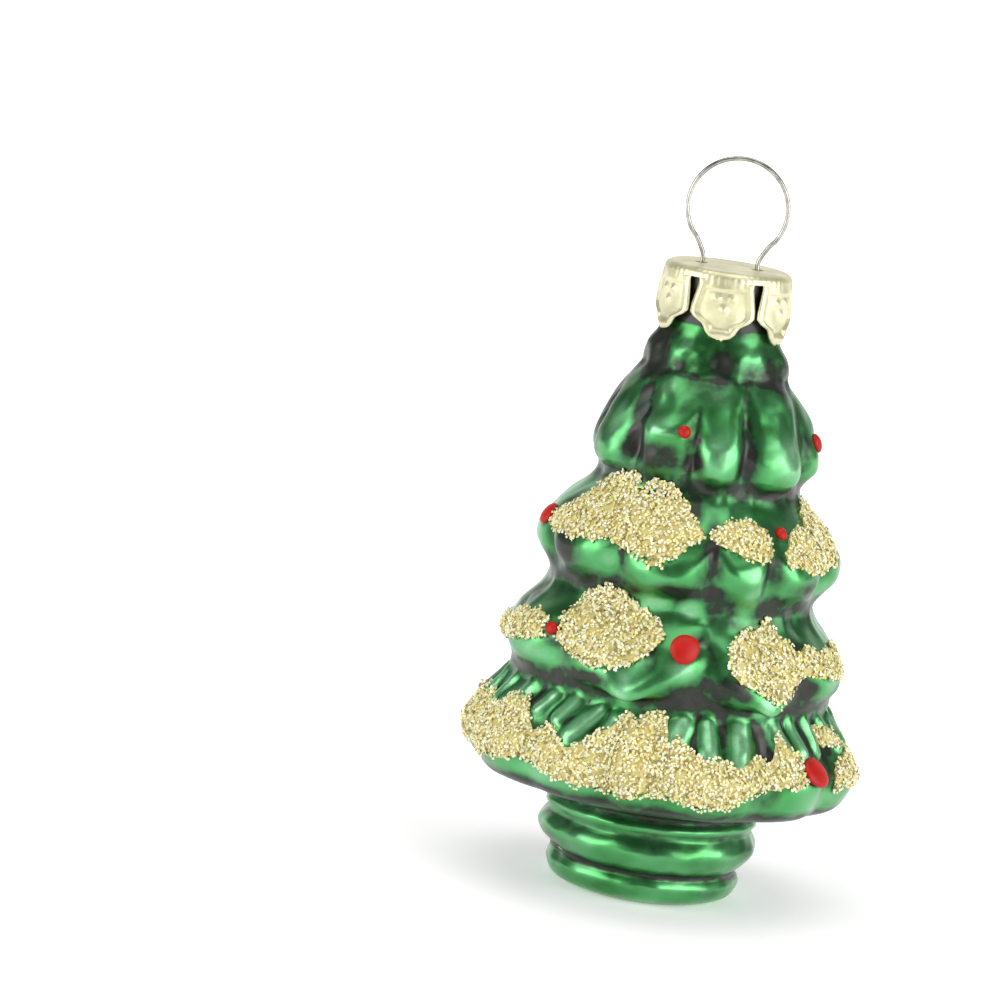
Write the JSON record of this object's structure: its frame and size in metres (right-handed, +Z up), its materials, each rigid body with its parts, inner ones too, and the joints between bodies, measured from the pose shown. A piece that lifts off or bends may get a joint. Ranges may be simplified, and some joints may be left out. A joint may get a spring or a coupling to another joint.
{
  "type": "christmas bauble",
  "caption": "Hollow blown-glass fir tree bauble with ribbed pot, pressed crown cap, swinging wire hanger, glitter patches and enamel drops.",
  "frame": {"origin": "middle of the flat under the pot, at the bottom of the box round the whole object", "axes": "+Z up along the tree to the hanger ring, -Y to the front of the tree as pictured, +X to the right seen from there; the hanger ring lies in the XZ plane"},
  "size_m": [0.0383, 0.0379, 0.0697],
  "materials": {
    "green_glass": "silvered inside, satin green lacquer outside, darker in the grooves",
    "cap_sheet": "pale gold lacquer on pressed tinplate",
    "hanger_wire": "bright drawn wire",
    "glitter": "light gold glitter grains in clear glue",
    "red_enamel": "glossy enamel drops"
  },
  "bodies": {
    "bauble": {"glass_body": "green_glass", "glitter_skirt_front": "glitter", "glitter_skirt_fleck": "glitter", "glitter_skirt_right": "glitter", "glitter_skirt_back_right": "glitter", "glitter_skirt_back_left": "glitter", "glitter_lower_left": "glitter", "glitter_lower_front": "glitter", "glitter_lower_right": "glitter", "glitter_lower_back_right": "glitter", "glitter_lower_back_left": "glitter", "glitter_middle_front": "glitter", "glitter_middle_centre": "glitter", "glitter_middle_right": "glitter", "glitter_middle_back_right": "glitter", "glitter_middle_back_left": "glitter", "glitter_upper_back": "glitter", "red_drop_upper_front": "red_enamel", "red_drop_upper_right": "red_enamel", "red_drop_middle_left": "red_enamel", "red_drop_middle_right": "red_enamel", "red_drop_lower_front": "red_enamel", "red_drop_lower_left": "red_enamel", "red_drop_skirt_right": "red_enamel", "red_drop_skirt_back": "red_enamel", "red_drop_lower_back": "red_enamel", "red_drop_middle_back": "red_enamel", "red_drop_upper_back": "red_enamel"},
    "cap": {"crown_cap": "cap_sheet"},
    "hanger": {"hanger_wire": "hanger_wire"}
  },
  "joints": [
    {"name": "cap_lift", "type": "slide", "parent": "bauble", "child": "cap", "axis": [0, 0, 1], "range_m": [0, 0.02]},
    {"name": "hanger_swing", "type": "hinge", "parent": "cap", "child": "hanger", "pos_m": [0, 0, 0.05925], "axis": [1, 0, 0], "range_deg": [-14, 14]}
  ]
}
